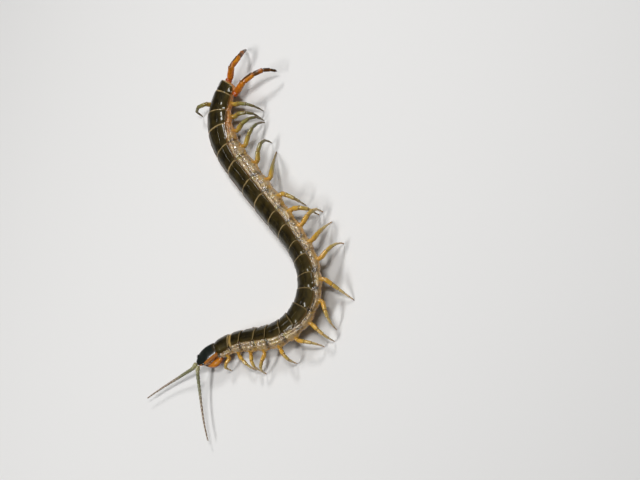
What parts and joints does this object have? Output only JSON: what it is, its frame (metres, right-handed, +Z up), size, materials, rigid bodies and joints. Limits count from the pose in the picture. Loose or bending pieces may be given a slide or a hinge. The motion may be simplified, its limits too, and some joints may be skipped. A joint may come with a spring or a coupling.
{
  "type": "giant centipede",
  "caption": "Life-size giant centipede resting on its feet in an S bend, with a plated trunk, long antennae, poison claws and trailing last legs.",
  "frame": {"origin": "centre of the bounding box in plan, at the level of the feet", "axes": "+X along the box's long side from the head's end to the tail's end, +Y across, +Z up from the floor"},
  "size_m": [0.1478, 0.0793, 0.0112],
  "materials": {
    "trunk_cuticle": "wet gloss",
    "walking_leg": "satin",
    "last_leg": "gloss",
    "head_shield": "wet gloss",
    "eye": "gloss",
    "antenna": "satin",
    "poison_claw": "gloss",
    "mouthparts": "satin"
  },
  "bodies": {
    "root": {"antenna_left": "antenna", "antenna_right": "antenna", "claw_plate": "poison_claw", "forcipule_left": "poison_claw", "forcipule_right": "poison_claw", "head": "head_shield", "leg_left_01": "walking_leg", "leg_left_02": "walking_leg", "leg_left_03": "walking_leg", "leg_left_04": "walking_leg", "leg_left_05": "walking_leg", "leg_left_06": "walking_leg", "leg_left_07": "walking_leg", "leg_left_08": "walking_leg", "leg_left_09": "walking_leg", "leg_left_10": "walking_leg", "leg_left_11": "walking_leg", "leg_left_12": "walking_leg", "leg_left_13": "walking_leg", "leg_left_14": "walking_leg", "leg_left_15": "walking_leg", "leg_left_16": "walking_leg", "leg_left_17": "walking_leg", "leg_left_18": "walking_leg", "leg_left_19": "walking_leg", "leg_left_20": "walking_leg", "leg_left_21": "last_leg", "leg_right_01": "walking_leg", "leg_right_02": "walking_leg", "leg_right_03": "walking_leg", "leg_right_04": "walking_leg", "leg_right_05": "walking_leg", "leg_right_06": "walking_leg", "leg_right_07": "walking_leg", "leg_right_08": "walking_leg", "leg_right_09": "walking_leg", "leg_right_10": "walking_leg", "leg_right_11": "walking_leg", "leg_right_12": "walking_leg", "leg_right_13": "walking_leg", "leg_right_14": "walking_leg", "leg_right_15": "walking_leg", "leg_right_16": "walking_leg", "leg_right_17": "walking_leg", "leg_right_18": "walking_leg", "leg_right_19": "walking_leg", "leg_right_20": "walking_leg", "leg_right_21": "last_leg", "mouthparts": "mouthparts", "ocelli_left": "eye", "ocelli_right": "eye", "trunk_1": "trunk_cuticle", "trunk_2": "trunk_cuticle", "trunk_3": "trunk_cuticle", "trunk_4": "trunk_cuticle", "trunk_5": "trunk_cuticle", "trunk_6": "trunk_cuticle", "trunk_7": "trunk_cuticle"}
  },
  "joints": []
}
